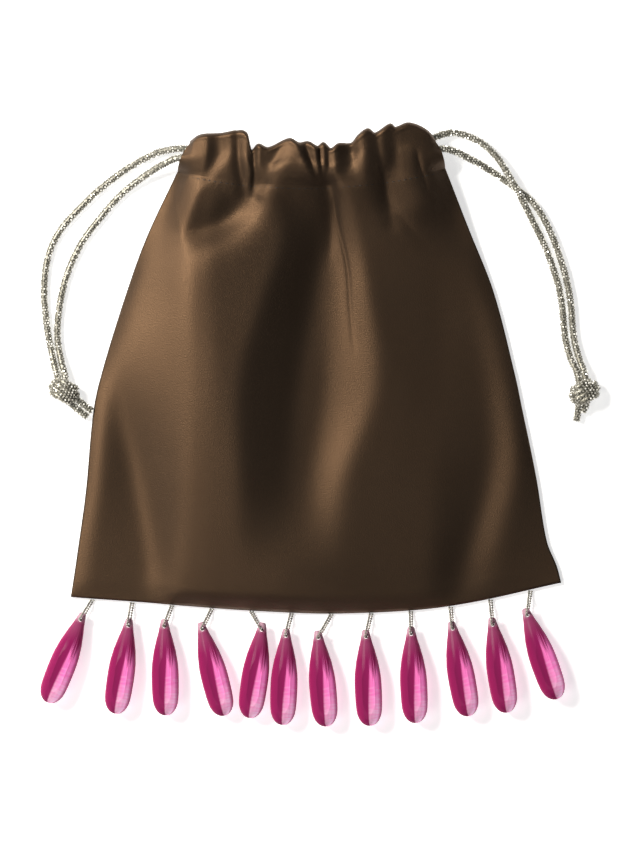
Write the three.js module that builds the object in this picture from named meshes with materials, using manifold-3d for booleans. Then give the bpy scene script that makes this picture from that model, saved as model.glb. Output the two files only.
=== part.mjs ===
// A satin drawstring pouch, lying on its back: two gathered panels with a hemmed casing, two
// drawcords that each end in a knot, and a row of cut drops on bead loops along the bottom seam.
// Millimetres. X runs across the pouch, Y from the drops up to the mouth, and Z up from the
// surface that it lies on. The origin is the middle of the footprint of the pouch and its drops.
import * as THREE from "three";
import { mergeVertices } from "three/addons/utils/BufferGeometryUtils.js";
import Module from "manifold-3d";

const wasm = await Module();
wasm.setup();

// Driving dimensions
const CLOTH = 1.0; // wall of satin, with its turned seam allowance
const SEAM_GAP = 0.3; // clearance between pieces that meet
const BACK_Z = CLOTH / 2; // middle of the back panel's wall, flat on the surface
const SEAM_Z = 1.5 * CLOTH + SEAM_GAP; // middle of the front panel's wall along the seams
const CORD = 2.8; // drawcord diameter
const BEAD = 1.2; // seed bead diameter on the loops
const DROP_LENGTH = 43.5;
const DROP_WIDTH = 12.3;

// Casing: the cloth folded to the inside along the mouth and stitched down
const TUNNEL = 4.3; // room for the drawcords between the casing's outer wall and its hem
const HEM_STEP = 1.6; // from the hem's wall to the outer wall where they are stitched together
const STITCH = { left: 114, right: 115.5, dip: 7.5 }; // height of the stitch line
const STITCH_GATHER = 0.8; // share of a gather's rise that is left at the stitch line
const CASING_SWELL = { power: 0.6, top: 0.9 }; // how full the casing is, and where its top fold starts
const GATHER_FROM = 0.3; // share of the height where the cloth starts to draw in to its gathers

// Left and right edge of the pouch at shares of the height from the bottom seam to the stitch line
const SIDES = [
  { up: 0.0, left: -105, right: 115.8 },
  { up: 0.04, left: -103.7, right: 113.8 },
  { up: 0.1, left: -102, right: 109.3 },
  { up: 0.25, left: -98, right: 104.6 },
  { up: 0.42, left: -95, right: 98.1 },
  { up: 0.5, left: -92.2, right: 95 },
  { up: 0.7, left: -80.6, right: 85.4 },
  { up: 0.85, left: -70.2, right: 74.4 },
  { up: 1.0, left: -57.8, right: 63.5 },
];

// The bottom seam bows down between its corners
const BOTTOM = [
  { across: 0.0, y: -77.4 },
  { across: 0.2, y: -80.6 },
  { across: 0.37, y: -83.3 },
  { across: 0.55, y: -84.6 },
  { across: 0.77, y: -81.5 },
  { across: 1.0, y: -71 },
];

// Height of the front's crown above the surface, from the bottom seam to the stitch line
const CROWN = [
  { up: 0.0, z: SEAM_Z },
  { up: 0.06, z: 5.2 },
  { up: 0.2, z: 9.4 },
  { up: 0.45, z: 13.4 },
  { up: 0.72, z: 16.2 },
  { up: 1.0, z: 19 },
];
const SEAM_LIFT = { from: 0.71, rise: 4.5 }; // the side seams leave the surface below the casing
const CROWN_FROM_LEFT = 0.27; // share across where the crown is full, from either side
const CROWN_FROM_RIGHT = 0.42;

// Crests and valleys of the front's gathers, left to right: place along the stitch line, rise above
// the valleys' level, height of the top fold, how far the top leans aside, and how far down the
// panel the pleat runs
const GATHERS = [
  { x: -57.8, rise: 0, top: 128.6, lean: 6.5, reach: 12 },
  { x: -47, rise: 6, top: 130.4, lean: 1, reach: 40 },
  { x: -38.5, rise: 0.5, top: 130.9, lean: 1, reach: 12 },
  { x: -26, rise: 9.5, top: 131.6, lean: -3, reach: 9 },
  { x: -22, rise: 0, top: 123.5, lean: -1, reach: 9 },
  { x: -18.5, rise: 4.5, top: 126, lean: 0, reach: 9 },
  { x: -15.5, rise: 1, top: 125.5, lean: 0, reach: 9 },
  { x: -7.5, rise: 8.5, top: 128, lean: 1, reach: 20 },
  { x: 3.5, rise: 1, top: 126, lean: -1, reach: 16 },
  { x: 8, rise: 6, top: 127, lean: 0, reach: 9 },
  { x: 12.5, rise: 0, top: 124, lean: 0, reach: 30 },
  { x: 16.5, rise: 7.5, top: 127, lean: 1, reach: 36 },
  { x: 21, rise: 2, top: 127, lean: 1, reach: 14 },
  { x: 27.5, rise: 10, top: 132.3, lean: 1, reach: 24 },
  { x: 33, rise: 1, top: 131, lean: 0, reach: 24 },
  { x: 37.5, rise: 7, top: 134.5, lean: 1, reach: 14 },
  { x: 41, rise: 3, top: 133.5, lean: 0.5, reach: 20 },
  { x: 49, rise: 6.5, top: 135.5, lean: -0.5, reach: 24 },
  { x: 63.5, rise: 0, top: 131, lean: -6.5, reach: 12 },
];
const GATHER_STEPS = 3; // columns of the panel from one row above to the next

// Long folds of the front panel, from the mouth down: the line of each fold, its half width on
// either side, and its height at the start, halfway and at the end, which is negative for a valley
const FOLDS = [
  { line: [[-47, 108], [-50, 60], [-51, -25]], west: 24, east: 17, start: 3, middle: 4, end: 2.5 },
  {
    line: [[9, 112], [1, 70], [-18, 30], [-16, 6], [-5, -43]],
    west: 12, east: 11, start: -6, middle: -7, end: -1,
  },
  {
    line: [[17, 100], [22, 60], [31, 18], [26, -12], [8, -40]],
    west: 12, east: 8, start: 4, middle: 5.5, end: 0.5,
  },
  { line: [[-9, 124], [-22, 101], [-44, 83]], west: 6, east: 9, start: 3, middle: 4, end: 2 },
  { line: [[-30, 114], [-40, 96], [-53, 84]], west: 7, east: 7, start: -5, middle: -6, end: -3 },
  { line: [[40, 110], [42.5, 90], [46.5, 70]], west: 5, east: 6, start: -4, middle: -3, end: -1 },
  { line: [[46, 110], [51.5, 103], [58, 96]], west: 5, east: 6, start: 3, middle: 2.5, end: 1 },
  { line: [[68, 16], [72, -34], [63, -76]], west: 14, east: 9, start: -2.5, middle: -2.5, end: -1 },
  { line: [[85, 36], [93, -11], [77, -70]], west: 8, east: 8, start: 2.5, middle: 2.5, end: 1.5 },
  { line: [[-79, 11], [-74, -25], [-67, -72]], west: 12, east: 9, start: -1, middle: -2.5, end: -2.5 },
];
const FOLD_PARTS = 20; // steps along a fold's line where it is measured
const FOLDS_FADE = { side: 0.07, bottom: 0.08, top: 0.1 }; // share of the panel where folds die out

// Rows of a panel from the bottom seam to the stitch line, as shares of that height
const FRONT_ROWS = [0, 0.05, 0.16, 0.3, 0.44, 0.58, 0.71, 0.82, 0.92, 1];
const BACK_ROWS = [0, 0.44, 0.71, 0.82, 0.92, 1];
const CASING_ROWS = [0.2, 0.5, 0.8, 1]; // shares of the casing's height
const HEM_ROWS = [0.92, 0.45, 0.1];

// The back panel is gathered evenly, and pressed flat where it lies
const BACK = { left: -56, right: 62, lean: 6, leanShare: 0.15, gathers: 7, rise: 1.6, columns: 28 };
// Height of the back's top fold, which stays behind the front's
const BACK_TOP = [
  { across: 0.0, top: 128.5 },
  { across: 0.15, top: 129.5 },
  { across: 0.4, top: 124.5 },
  { across: 0.6, top: 124.5 },
  { across: 0.8, top: 131 },
  { across: 0.93, top: 133.5 },
  { across: 1.0, top: 132.5 },
];
// Height of each hem at the ends of the casing and halfway
const FRONT_HEM = { ends: 7.8, middle: 17.4 };
const BACK_HEM = { ends: 6.5, middle: 8.2 };

// Drops, left to right: swing of the drop from straight down, in degrees, and where its tip lies
// from the place on the seam that its loop is sewn to
const LOOP_PITCH = 17.94;
const FIRST_LOOP_X = -95.4;
const DROPS = [
  { swing: -21.7, aside: -3.8, down: 6.3 },
  { swing: -8.4, aside: -1, down: 7.4 },
  { swing: 1, aside: -3.3, down: 6.4 },
  { swing: 14.6, aside: -5, down: 6.5 },
  { swing: -8, aside: 5.1, down: 5.4 },
  { swing: -2.2, aside: -2.3, down: 7.2 },
  { swing: 5.1, aside: -6.1, down: 7.6 },
  { swing: 2.6, aside: -2.5, down: 7.6 },
  { swing: 2.8, aside: -0.1, down: 7.3 },
  { swing: 10.4, aside: 0.1, down: 6.8 },
  { swing: 9.2, aside: 0.3, down: 8.3 },
  { swing: 19.7, aside: -2.7, down: 8.2 },
];
const DROP_FACETS = 10;
// A drop's outline, as shares of its length from the tip and of its half width
const DROP_OUTLINE = [
  { down: 0, wide: 0 },
  { down: 0.015, wide: 0.26 },
  { down: 0.2, wide: 0.58 },
  { down: 0.42, wide: 0.9 },
  { down: 0.64, wide: 1 },
  { down: 0.84, wide: 0.94 },
  { down: 0.95, wide: 0.68 },
  { down: 1, wide: 0 },
];
const DROP_TABLE = 0.88; // share of the half width where the front is cut flat
const DROP_BELLY = 0.64; // share of the length where the drop lies on the surface
const TIP_Z = 4.4; // height of a drop's tip, which lies on its loop
const HOLE = { down: 3.4, radius: 1.1, sides: 8 };
// A bead loop's way in a drop's own frame, from above the tip to below it: distance past the tip and
// height from the drop's axis
const LOOP_OVER = [{ past: 1.4, high: 2.2 }, { past: 0.2, high: 3.1 }];
const LOOP_UNDER = [{ past: 0.2, high: -2.6 }, { past: 1.4, high: -1.9 }];
const LOOP_ROOM = 0.6; // clearance around the drop where the loop goes into its hole
const LOOP_STEPS = 10;
const LOOP_SIDES = 5;

// Drawcord routes, from inside the casing to the knot
const LEFT_BACK_CORD = [
  [-46, 122.8, 4.2], [-50, 123.6, 4], [-54.5, 124.4, 3.6], [-60, 124, 2.8], [-66, 122.6, 2.1],
  [-73, 119.3, 1.6], [-80, 115.2, 1.5], [-86.6, 110.4, 1.5], [-93.3, 105, 1.5], [-99, 99.6, 1.5],
  [-104.8, 93.6, 1.5], [-109.5, 88, 1.5], [-113.4, 81, 1.5], [-115.8, 73.5, 1.5], [-116.9, 65, 1.5],
  [-117, 56.5, 1.5], [-116.3, 48.7, 1.5], [-115.3, 41, 1.5], [-114, 34.6, 1.8],
  [-112.8, 28.6, 2.8], [-111.1, 22.8, 4.2],
];
const LEFT_FRONT_CORD = [
  [-50.5, 120, 12.3], [-54, 120, 11.6], [-57.8, 119.6, 10.5], [-62, 117.7, 8.8], [-67.1, 115, 6],
  [-73.9, 110.5, 3.4], [-80.5, 105.4, 2], [-85.7, 100.3, 1.5], [-91.5, 93.5, 1.5], [-97, 86.6, 1.5],
  [-101, 80.4, 1.5], [-104.4, 73.6, 1.5], [-107, 66.8, 1.5], [-109, 59.4, 1.5], [-110.4, 51.6, 1.5],
  [-111, 44.8, 1.5], [-111, 38.8, 1.6], [-110.3, 33.4, 2], [-109.1, 28, 3], [-107.7, 22.8, 4.2],
];
const RIGHT_BACK_CORD = [
  [49, 127, 4.5], [53, 127.8, 4.5], [58, 129, 4.3], [63, 131, 3.5], [68, 131.5, 3],
  [73, 130.3, 2.8], [79.2, 127.4, 2.8], [84, 123.4, 3.1], [88.2, 118.6, 3.7], [91.5, 113.2, 4.4],
  [94.4, 108.2, 4.8], [96.6, 104.2, 4.6], [99, 99.6, 3.7], [101.5, 94.6, 2.6], [104, 89.6, 1.9],
  [106.7, 84.2, 1.6], [109.8, 77, 1.5], [112.7, 68.8, 1.5], [115, 60.6, 1.5], [116.3, 52.6, 1.5],
  [116.9, 45, 1.5], [117.8, 38, 1.6], [119.8, 30.4, 2.6], [122.8, 23.8, 4.2],
];
const RIGHT_FRONT_CORD = [
  [54.5, 122.4, 12], [59, 123.5, 11], [63.5, 124, 10], [68.4, 122.6, 8.6], [73.8, 120, 6.4],
  [79.2, 117.3, 4.3], [86.4, 112.8, 2.2], [91.5, 109.3, 1.6], [95.9, 106.2, 1.5], [101.7, 101.5, 1.5],
  [105.4, 97, 1.5], [108.6, 91.6, 1.5], [112, 84.6, 1.5], [115, 76.6, 1.5], [117.6, 69, 1.5],
  [119.4, 61.4, 1.5], [120.7, 53.6, 1.5], [121.2, 45.4, 1.5], [122, 38.4, 1.6], [123.8, 30.4, 2.6],
  [126, 23.8, 4.2],
];
const CORD_STEPS = 18;
const CORD_SIDES = 8;

// Knots: where the doubled cord comes in, the middle of the wraps, where the cut ends lie, and how
// the wraps are tilted, in degrees
const KNOTS = {
  left_knot: {
    from: [-109.2, 21.8, 4.2],
    middle: [-108, 15.4, 4.6],
    end: [-97.4, 5.2, 1.6],
    tilts: [30, -25],
  },
  right_knot: {
    from: [124.6, 22.7, 4.2],
    middle: [126.2, 14.8, 4.6],
    end: [123.4, 2.2, 1.6],
    tilts: [40, 18],
  },
};
const KNOT_PAIR = { half: 1.6, sides: 6, steps: 6 }; // half the distance between the two cords
const KNOT_WRAP = { across: 6.1, high: 3.2, apart: 3.6, sides: 5, parts: 11 };
const KNOT_HEART = { across: 5.4, along: 4.6, high: 3.4, sides: 8, rings: 4 }; // the hidden turns

// Finishes
const SATIN = { color: 0x4f3b2b, roughness: 0.45, metalness: 0 };
const CRYSTAL_MESH = { color: 0xb9b6a8, roughness: 0.3, metalness: 0.6 };
const SILVER_BEADS = { color: 0xc6c2ba, roughness: 0.3, metalness: 0.7 };
const MAGENTA_CRYSTAL = { color: 0xc2257e, roughness: 0.08, metalness: 0 };

const clamp = (t) => Math.min(1, Math.max(0, t));
const ease = (t) => clamp(t) ** 2 * (3 - 2 * clamp(t));
const mix = (a, b, t) => a + (b - a) * t;
const vector = (p) => new THREE.Vector3(...p);

// A smooth line through a table's column, read at a value of its key column.
function glide(rows, key, at, column) {
  const last = rows.length - 1;
  let k = 0;
  while (k < last - 1 && at > rows[k + 1][key]) k += 1;
  const slope = (n) => {
    const a = rows[Math.max(n - 1, 0)];
    const b = rows[Math.min(n + 1, last)];
    return (b[column] - a[column]) / (b[key] - a[key]);
  };
  const span = rows[k + 1][key] - rows[k][key];
  const t = clamp((at - rows[k][key]) / span);
  const bend = t * (1 - t) * span * (slope(k) * (1 - t) - slope(k + 1) * t);
  return mix(rows[k][column], rows[k + 1][column], ease(t)) + bend;
}

// Waves through the gathers' rows, level at each crest and valley.
function gatherAt(x) {
  let k = 0;
  while (k < GATHERS.length - 2 && x > GATHERS[k + 1].x) k += 1;
  const a = GATHERS[k];
  const b = GATHERS[k + 1];
  const t = (x - a.x) / (b.x - a.x);
  const wave = (column) => mix(a[column], b[column], ease(t));
  return { x, rise: wave("rise"), top: wave("top"), reach: wave("reach"), lean: mix(a.lean, b.lean, t) };
}

// The panel's columns: each has its place in the gathers, and its share across the flat cloth.
function frontColumns() {
  const columns = [gatherAt(GATHERS[0].x)];
  for (let k = 0; k + 1 < GATHERS.length; k += 1)
    for (let n = 1; n <= GATHER_STEPS; n += 1)
      columns.push(gatherAt(mix(GATHERS[k].x, GATHERS[k + 1].x, n / GATHER_STEPS)));
  let length = 0;
  columns.forEach((c, i) => {
    const before = columns[Math.max(i - 1, 0)];
    length += Math.hypot(c.x - before.x, c.rise - before.rise);
    c.run = length;
  });
  columns.forEach((c) => (c.share = c.run / length));
  return columns;
}

function backColumns() {
  return Array.from({ length: BACK.columns + 1 }, (_, i) => {
    const share = i / BACK.columns;
    const x = mix(BACK.left, BACK.right, share);
    const wave = (1 - Math.cos(2 * Math.PI * BACK.gathers * share)) / 2;
    const rise = BACK.rise * wave * arch(share);
    const lean = BACK.lean * (ease(1 - share / BACK.leanShare) - ease(1 - (1 - share) / BACK.leanShare));
    return { x, share, rise, lean, top: glide(BACK_TOP, "across", share, "top") };
  });
}

const arch = (share) => Math.sin(Math.PI * clamp(share));
const stitchLine = (share) =>
  mix(STITCH.left, STITCH.right, share) - STITCH.dip * Math.sin(Math.PI * share) ** 0.8;

// Place in plan of a point of a panel: evenly spread at the bottom, gathered at the stitch line.
function inPlan(columns, column, up) {
  const left = glide(SIDES, "up", up, "left");
  const right = glide(SIDES, "up", up, "right");
  const first = columns[0].x;
  const last = columns[columns.length - 1].x;
  const gathered = (column.x - first) / (last - first);
  const across = mix(column.share, gathered, ease((up - GATHER_FROM) / (1 - GATHER_FROM)));
  const atCasing = ease(1 - (1 - up) / FOLDS_FADE.top);
  const x = mix(mix(left, right, across), column.x, atCasing);
  const y = mix(glide(BOTTOM, "across", column.share, "y"), stitchLine(column.share), up);
  return { x, y };
}

// Height that one long fold adds at a point: a soft ridge or valley along its line.
function foldHeight(fold, x, y) {
  const line = new THREE.SplineCurve(fold.line.map((p) => new THREE.Vector2(...p)));
  let best = { away: Infinity };
  for (let n = 0; n <= FOLD_PARTS; n += 1) {
    const t = n / FOLD_PARTS;
    const aside = new THREE.Vector2(x, y).sub(line.getPoint(t));
    if (aside.length() < best.away) best = { away: aside.length(), east: aside.x > 0, t };
  }
  const { away, east, t } = best;
  const bow = 4 * t * (1 - t) * (fold.middle - (fold.start + fold.end) / 2);
  const height = mix(fold.start, fold.end, t) + bow;
  return height * Math.exp(-((away / (east ? fold.east : fold.west)) ** 2));
}

const crownShare = (share) =>
  Math.sin((Math.PI / 2) * clamp(share / CROWN_FROM_LEFT)) *
  Math.sin((Math.PI / 2) * clamp((1 - share) / CROWN_FROM_RIGHT));

const seamLift = (up) => SEAM_LIFT.rise * ease((up - SEAM_LIFT.from) / (1 - SEAM_LIFT.from));

const crownHeight = (share, up) =>
  mix(SEAM_Z + seamLift(up), glide(CROWN, "up", up, "z"), crownShare(share));

function frontPoint(columns, column, up) {
  const { x, y } = inPlan(columns, column, up);
  const fade =
    ease(Math.min(column.share, 1 - column.share) / FOLDS_FADE.side) *
    ease(up / FOLDS_FADE.bottom) *
    ease((1 - up) / FOLDS_FADE.top);
  const folds = FOLDS.reduce((sum, fold) => sum + foldHeight(fold, x, y), 0);
  const below = stitchLine(column.share) - y;
  const pleat = STITCH_GATHER * column.rise * Math.exp(-below / column.reach);
  return new THREE.Vector3(x, y, crownHeight(column.share, up) + fade * folds + pleat);
}

function backPoint(columns, column, up) {
  const { x, y } = inPlan(columns, column, up);
  const hem = mix(BACK_HEM.ends, BACK_HEM.middle, arch(column.share));
  const seamTop = BACK_Z + SEAM_LIFT.rise - SEAM_GAP;
  const stitchZ = mix(seamTop, hem - HEM_STEP - column.rise, arch(column.share));
  return new THREE.Vector3(x, y, mix(BACK_Z, stitchZ, seamLift(up) / SEAM_LIFT.rise));
}

// The casing at one column, going up its outer wall, over the top fold and down the hem inside.
// The side is 1 where the outer wall lies above the hem, as on the front, and -1 below it.
function casingPoints(column, stitch, heights, side) {
  const hem = mix(heights.ends, heights.middle, arch(column.share));
  const full = hem + side * (HEM_STEP + TUNNEL + column.rise);
  const fold = column.top - 1.5 * CLOTH;
  const place = (w, z) => {
    const x = column.x + column.lean * w ** 2;
    return new THREE.Vector3(x, mix(stitch.y, fold, w), z);
  };
  const swell = (w) => Math.sin(Math.PI * Math.min(w, CASING_SWELL.top)) ** CASING_SWELL.power;
  const outerZ = (w) => mix(stitch.z, full, swell(w));
  const outer = CASING_ROWS.map((w) => place(w, outerZ(w)));
  const topFold = place(1, (outerZ(1) + hem) / 2).add(new THREE.Vector3(0, CLOTH, 0));
  const [hemTop, hemMiddle, hemEnd] = HEM_ROWS;
  const sewnDown = place(hemEnd, outerZ(hemEnd) - side * HEM_STEP);
  return [...outer, topFold, place(hemTop, hem), place(hemMiddle, hem), sewnDown];
}

// A closed wall of cloth around a grid of points on its middle surface.
function clothWall(grid) {
  const rows = grid.length;
  const columns = grid[0].length;
  const at = (r, c) => grid[Math.min(Math.max(r, 0), rows - 1)][Math.min(Math.max(c, 0), columns - 1)];
  const normal = (r, c) => {
    const across = at(r, c + 1).clone().sub(at(r, c - 1));
    const upward = at(r + 1, c).clone().sub(at(r - 1, c));
    return across.cross(upward).normalize();
  };
  const points = [1, -1].flatMap((side) =>
    grid.flatMap((row, r) => row.map((p, c) => p.clone().addScaledVector(normal(r, c), (side * CLOTH) / 2))),
  );
  const index = (r, c, face) => face * rows * columns + r * columns + c;
  const faces = [];
  const quad = (a, b, c, d) => faces.push(a, b, c, a, c, d);
  for (let r = 0; r + 1 < rows; r += 1)
    for (let c = 0; c + 1 < columns; c += 1) {
      quad(index(r, c, 0), index(r, c + 1, 0), index(r + 1, c + 1, 0), index(r + 1, c, 0));
      quad(index(r, c, 1), index(r + 1, c, 1), index(r + 1, c + 1, 1), index(r, c + 1, 1));
    }
  for (let c = 0; c + 1 < columns; c += 1) {
    quad(index(0, c, 1), index(0, c + 1, 1), index(0, c + 1, 0), index(0, c, 0));
    quad(index(rows - 1, c, 0), index(rows - 1, c + 1, 0), index(rows - 1, c + 1, 1), index(rows - 1, c, 1));
  }
  for (let r = 0; r + 1 < rows; r += 1) {
    quad(index(r, 0, 0), index(r + 1, 0, 0), index(r + 1, 0, 1), index(r, 0, 1));
    const c = columns - 1;
    quad(index(r, c, 1), index(r + 1, c, 1), index(r + 1, c, 0), index(r, c, 0));
  }
  return new THREE.BufferGeometry().setFromPoints(points).setIndex(faces);
}

function panel(columns, rows, pointAt, hemHeights, side) {
  const body = rows.map((up) => columns.map((c) => pointAt(columns, c, up)));
  const stitches = body[body.length - 1];
  const casing = columns.map((c, i) => casingPoints(c, stitches[i], hemHeights, side));
  const folded = casing[0].map((_, r) => casing.map((points) => points[r]));
  return clothWall([...body, ...folded]);
}

// Joining and drilling
function solid(geometry) {
  const bare = geometry.clone();
  bare.deleteAttribute("normal");
  bare.deleteAttribute("uv");
  const merged = mergeVertices(bare, 1e-4);
  const vertProperties = new Float32Array(merged.attributes.position.array);
  const triVerts = new Uint32Array(merged.index.array);
  return new wasm.Manifold(new wasm.Mesh({ numProp: 3, vertProperties, triVerts }));
}

function geometryOf(made) {
  const mesh = made.getMesh();
  const positions = new THREE.BufferAttribute(new Float32Array(mesh.vertProperties), 3);
  const indices = new THREE.BufferAttribute(new Uint32Array(mesh.triVerts), 1);
  return new THREE.BufferGeometry().setAttribute("position", positions).setIndex(indices);
}

// A tube along a smooth line through points.
function tube(points, diameter, sides, steps) {
  const corner = (n) => {
    const turn = (2 * Math.PI * n) / sides;
    return new THREE.Vector2(Math.cos(turn), Math.sin(turn)).multiplyScalar(diameter / 2);
  };
  const section = new THREE.Shape(Array.from({ length: sides }, (_, n) => corner(n)));
  const extrudePath = new THREE.CatmullRomCurve3(points, false, "centripetal");
  return new THREE.ExtrudeGeometry(section, { steps, extrudePath, bevelEnabled: false });
}

// A cut drop with its tip at the origin, hanging along -Y, drilled from front to back, with a long
// flat table on its front.
function dropGeometry() {
  const outline = DROP_OUTLINE.map(
    ({ down, wide }) => new THREE.Vector2((wide * DROP_WIDTH) / 2, -down * DROP_LENGTH),
  ).reverse();
  const cut = new THREE.LatheGeometry(outline, DROP_FACETS, Math.PI / DROP_FACETS);
  const drill = new THREE.CylinderGeometry(HOLE.radius, HOLE.radius, DROP_WIDTH, HOLE.sides)
    .rotateX(Math.PI / 2)
    .translate(0, -HOLE.down, 0);
  const front = new THREE.BoxGeometry(DROP_WIDTH, 2 * DROP_LENGTH, DROP_WIDTH);
  front.translate(0, 0, (DROP_TABLE * DROP_WIDTH) / 2 + DROP_WIDTH / 2);
  return geometryOf(solid(cut).subtract(solid(drill)).subtract(solid(front)));
}

// Where a loop is sewn to the bottom seam.
function sewnAt(n) {
  const x = FIRST_LOOP_X + n * LOOP_PITCH;
  const across = (x - SIDES[0].left) / (SIDES[0].right - SIDES[0].left);
  return new THREE.Vector3(x, glide(BOTTOM, "across", across, "y"), (BACK_Z + SEAM_Z) / 2);
}

// A drop lying on its belly, with its tip where the table says.
function placeDrop(mesh, n) {
  const { swing, aside, down } = DROPS[n];
  const belly = (DROP_WIDTH / 2) * Math.cos(Math.PI / DROP_FACETS);
  const pitch = Math.asin((belly - TIP_Z) / (DROP_BELLY * DROP_LENGTH));
  mesh.rotation.set(-pitch, 0, THREE.MathUtils.degToRad(swing), "ZXY");
  mesh.position.copy(sewnAt(n)).add(new THREE.Vector3(aside, -down, 0)).setZ(TIP_Z);
  mesh.updateMatrixWorld(true);
  mesh.position.z -= new THREE.Box3().setFromObject(mesh, true).min.z;
  mesh.updateMatrixWorld(true);
}

// A loop of beads: from the seam over the drop's tip, through its hole and back under it.
function loopPoints(drop, n) {
  const seam = sewnAt(n);
  const inDrop = (past, high) => drop.localToWorld(new THREE.Vector3(0, past, high));
  const tipHalf = (glide(DROP_OUTLINE, "down", HOLE.down / DROP_LENGTH, "wide") * DROP_WIDTH) / 2;
  const clear = tipHalf + BEAD / 2;
  const below = -2 * SEAM_GAP - BEAD / 4;
  const end = (side) => seam.clone().add(new THREE.Vector3((side * BEAD * 3) / 4, below, 0));
  const [away, above] = LOOP_OVER;
  const [under, back] = LOOP_UNDER;
  return [
    end(-1),
    end(-1).lerp(inDrop(away.past, away.high), 0.5),
    inDrop(above.past, above.high),
    inDrop(LOOP_ROOM - HOLE.down, clear + LOOP_ROOM),
    inDrop(-HOLE.down, clear / 2),
    inDrop(-HOLE.down, -clear / 2),
    inDrop(LOOP_ROOM - HOLE.down, -clear - LOOP_ROOM),
    inDrop(under.past, under.high),
    end(1).lerp(inDrop(back.past, back.high), 0.5),
    end(1),
  ];
}

// A knot of the doubled cord: a pair of cords side by side, with two tilted wraps around them.
function knotGeometry({ from, middle, end, tilts }) {
  const line = new THREE.CatmullRomCurve3([from, middle, end].map(vector), false, "centripetal");
  const asideAt = (t) => new THREE.Vector3(0, 0, 1).cross(line.getTangent(t)).setZ(0).normalize();
  const pair = [-1, 1].map((side) => {
    const points = [0, 0.25, 0.5, 0.75, 1].map((t) =>
      line.getPoint(t).addScaledVector(asideAt(t), side * KNOT_PAIR.half),
    );
    return solid(tube(points, CORD, KNOT_PAIR.sides, KNOT_PAIR.steps));
  });
  const wraps = tilts.map((tilt, n) => {
    const ring = new THREE.TorusGeometry(KNOT_WRAP.high, CORD / 2, KNOT_WRAP.sides, KNOT_WRAP.parts);
    const heading = line.getTangent(0.35).setZ(0).normalize();
    const along = vector(middle).addScaledVector(heading, (n - 0.5) * KNOT_WRAP.apart);
    const turn = Math.atan2(heading.y, heading.x) + Math.PI / 2 + THREE.MathUtils.degToRad(tilt);
    ring.scale(KNOT_WRAP.across / KNOT_WRAP.high, 1, 1).rotateX(Math.PI / 2);
    ring.rotateZ(turn).translate(along.x, along.y, along.z);
    return solid(ring);
  });
  const heart = new THREE.SphereGeometry(1, KNOT_HEART.sides, KNOT_HEART.rings);
  heart.scale(KNOT_HEART.across, KNOT_HEART.along, KNOT_HEART.high).translate(...middle);
  return geometryOf([...pair, ...wraps].reduce((all, piece) => all.add(piece), solid(heart)));
}

// Assembly
const pouch = new THREE.Group();

function addPiece(name, geometry, finish) {
  const mesh = new THREE.Mesh(geometry, new THREE.MeshStandardMaterial(finish));
  mesh.name = name;
  pouch.add(mesh);
  return mesh;
}

addPiece("front_panel", panel(frontColumns(), FRONT_ROWS, frontPoint, FRONT_HEM, 1), SATIN);
addPiece("back_panel", panel(backColumns(), BACK_ROWS, backPoint, BACK_HEM, -1), SATIN);

const cords = {
  left_cord_back: LEFT_BACK_CORD,
  left_cord_front: LEFT_FRONT_CORD,
  right_cord_back: RIGHT_BACK_CORD,
  right_cord_front: RIGHT_FRONT_CORD,
};
for (const [name, route] of Object.entries(cords))
  addPiece(name, tube(route.map(vector), CORD, CORD_SIDES, CORD_STEPS), CRYSTAL_MESH);
for (const [name, knot] of Object.entries(KNOTS)) addPiece(name, knotGeometry(knot), CRYSTAL_MESH);

DROPS.forEach((_, n) => {
  const number = String(n + 1).padStart(2, "0");
  const drop = addPiece(`drop_${number}`, dropGeometry(), MAGENTA_CRYSTAL);
  placeDrop(drop, n);
  addPiece(`bead_loop_${number}`, tube(loopPoints(drop, n), BEAD, LOOP_SIDES, LOOP_STEPS), SILVER_BEADS);
});

export default pouch;
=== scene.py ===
import math

import bpy
import numpy as np
from mathutils import Matrix, Vector


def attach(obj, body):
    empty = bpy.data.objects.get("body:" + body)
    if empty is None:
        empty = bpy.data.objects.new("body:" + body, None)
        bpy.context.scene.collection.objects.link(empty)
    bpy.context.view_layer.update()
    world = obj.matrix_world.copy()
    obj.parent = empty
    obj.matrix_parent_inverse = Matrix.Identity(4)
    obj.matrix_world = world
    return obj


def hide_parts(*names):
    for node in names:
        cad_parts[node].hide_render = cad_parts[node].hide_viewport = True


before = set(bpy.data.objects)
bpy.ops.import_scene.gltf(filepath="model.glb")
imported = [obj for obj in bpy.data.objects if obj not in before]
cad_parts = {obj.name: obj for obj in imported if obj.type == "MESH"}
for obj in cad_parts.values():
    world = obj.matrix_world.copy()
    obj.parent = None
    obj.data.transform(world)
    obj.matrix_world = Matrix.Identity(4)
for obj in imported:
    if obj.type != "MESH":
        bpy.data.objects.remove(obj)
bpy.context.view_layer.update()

# The pouch lies on its back and is seen from straight above, with its mouth at the top of the
# picture. Sizes are millimetres in the part's frame, and become metres where a mesh is made.
MM = 0.001
CLOTH = 1.0
SEAM_Z = 1.6
BACK_Z = 0.5
BEAD = 1.2
DROP_LENGTH = 43.5
DROP_WIDTH = 12.3

# How fine a smooth line is, how much of a normal counts as facing a way, and next to nothing
LINE_PARTS = 24
FACING = 0.9
TINY = 1e-6


def table(names, rows):
    """A short table with named columns."""
    return dict(zip(names.split(), np.array(rows, float).T))


# Picture and camera
PICTURE = (640, 853)
PIXEL = 0.45
ORIGIN_PIXEL = (304, 425)
CAMERA_HEIGHT = 2500
SHARP_HEIGHT = 3
SENSOR = 36

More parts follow.
